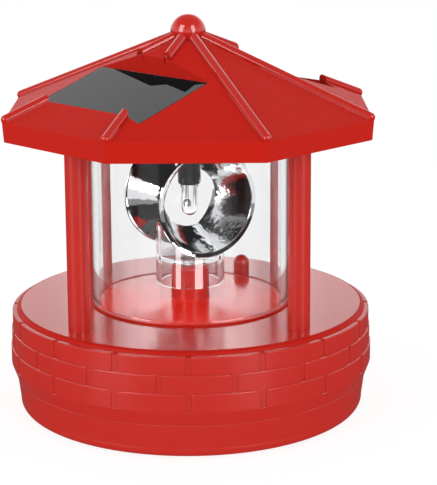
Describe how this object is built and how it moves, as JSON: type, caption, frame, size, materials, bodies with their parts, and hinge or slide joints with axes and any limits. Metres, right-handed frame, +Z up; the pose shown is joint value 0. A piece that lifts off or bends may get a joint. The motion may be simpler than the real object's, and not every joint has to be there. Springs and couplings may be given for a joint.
{
  "type": "garden lighthouse ornament",
  "caption": "Solar garden lighthouse lantern: red brick-banded base, pillars, clear cylinder with a turning chrome reflector, ribbed octagonal roof with solar panels.",
  "frame": {"origin": "centre of the base, on the surface that it stands on", "axes": "+Z up along the axis that the reflector turns about; -Y towards the front, with a solar panel facing -X -Y and one facing +X +Y"},
  "size_m": [0.12, 0.12, 0.1304],
  "materials": {
    "red_plastic": "glossy",
    "clear_cylinder": "clear and glossy",
    "clear_sleeve": "clear and glossy",
    "lamp_epoxy": "clear and glossy",
    "chrome_plating": "mirror",
    "panel_board": "matte",
    "solar_cell": "glossy",
    "panel_cover": "glossy",
    "rubber": "matte",
    "gasket_silicone": "satin",
    "black_plastic": "satin",
    "gear_plastic": "satin",
    "brass": "satin",
    "circuit_board": "satin",
    "battery_wrap": "glossy",
    "lead_jacket": "satin",
    "plated_steel": "satin",
    "bright_steel": "bright"
  },
  "bodies": {
    "housing": {"base_pan": "red_plastic", "base_screws": "bright_steel", "battery_cell": "battery_wrap", "battery_contact": "bright_steel", "battery_door": "red_plastic", "battery_door_screw": "bright_steel", "battery_spring": "bright_steel", "board_components": "black_plastic", "board_leads": "lead_jacket", "board_screws": "bright_steel", "button_seal": "rubber", "control_board": "circuit_board", "deck_shell": "red_plastic", "finial_ball": "red_plastic", "finial_clip": "bright_steel", "foot_back_left": "rubber", "foot_back_right": "rubber", "foot_front_left": "rubber", "foot_front_right": "rubber", "gear_case_screws": "bright_steel", "gear_lid": "black_plastic", "gear_pins": "bright_steel", "gear_tray": "black_plastic", "lamp_holder": "black_plastic", "lantern_cylinder": "clear_cylinder", "led_lamp": "lamp_epoxy", "led_legs": "bright_steel", "lower_gasket": "gasket_silicone", "motor_can": "plated_steel", "motor_screws": "bright_steel", "panel_board_front": "panel_board", "panel_board_rear": "panel_board", "panel_cells_front": "solar_cell", "panel_cells_rear": "solar_cell", "panel_cover_front": "panel_cover", "panel_cover_rear": "panel_cover", "pillar_back_left": "red_plastic", "pillar_back_right": "red_plastic", "pillar_front_left": "red_plastic", "pillar_front_right": "red_plastic", "roof_cable": "lead_jacket", "roof_ceiling": "red_plastic", "roof_leads": "lead_jacket", "roof_screws": "bright_steel", "roof_shell": "red_plastic", "roof_splice": "lead_jacket", "shaft_bush": "brass", "switch_body": "black_plastic", "upper_gasket": "gasket_silicone"},
    "lantern_rotor": {"front_reflector": "chrome_plating", "rear_reflector": "chrome_plating", "rotor_sleeve": "clear_sleeve", "output_shaft": "bright_steel", "output_gear": "gear_plastic"},
    "second_gear": {"second_gear": "gear_plastic"},
    "first_gear": {"first_gear": "gear_plastic"},
    "motor_rotor": {"motor_shaft": "bright_steel", "motor_pinion": "brass"},
    "power_button": {"power_button": "red_plastic"}
  },
  "joints": [
    {"name": "lantern_spin", "type": "hinge", "parent": "housing", "child": "lantern_rotor", "pos_m": [0, 0, 0], "axis": [0, 0, 1], "continuous": true},
    {"name": "second_gear_spin", "type": "hinge", "parent": "housing", "child": "second_gear", "pos_m": [-0.015, 0, 0], "axis": [0, 0, 1], "continuous": true},
    {"name": "first_gear_spin", "type": "hinge", "parent": "housing", "child": "first_gear", "pos_m": [-0.0075, -0.01299, 0], "axis": [0, 0, 1], "continuous": true},
    {"name": "motor_spin", "type": "hinge", "parent": "housing", "child": "motor_rotor", "pos_m": [0.0075, -0.01299, 0], "axis": [0, 0, 1], "continuous": true},
    {"name": "button_press", "type": "slide", "parent": "housing", "child": "power_button", "axis": [0, 0, -1], "range_m": [0, 0.0015], "stiffness_N_per_m": 400, "springref_m": -0.001}
  ],
  "couplings": [
    {"joint": "second_gear_spin", "follows": "lantern_spin", "ratio": -4},
    {"joint": "first_gear_spin", "follows": "lantern_spin", "ratio": 16},
    {"joint": "motor_spin", "follows": "lantern_spin", "ratio": -64}
  ]
}
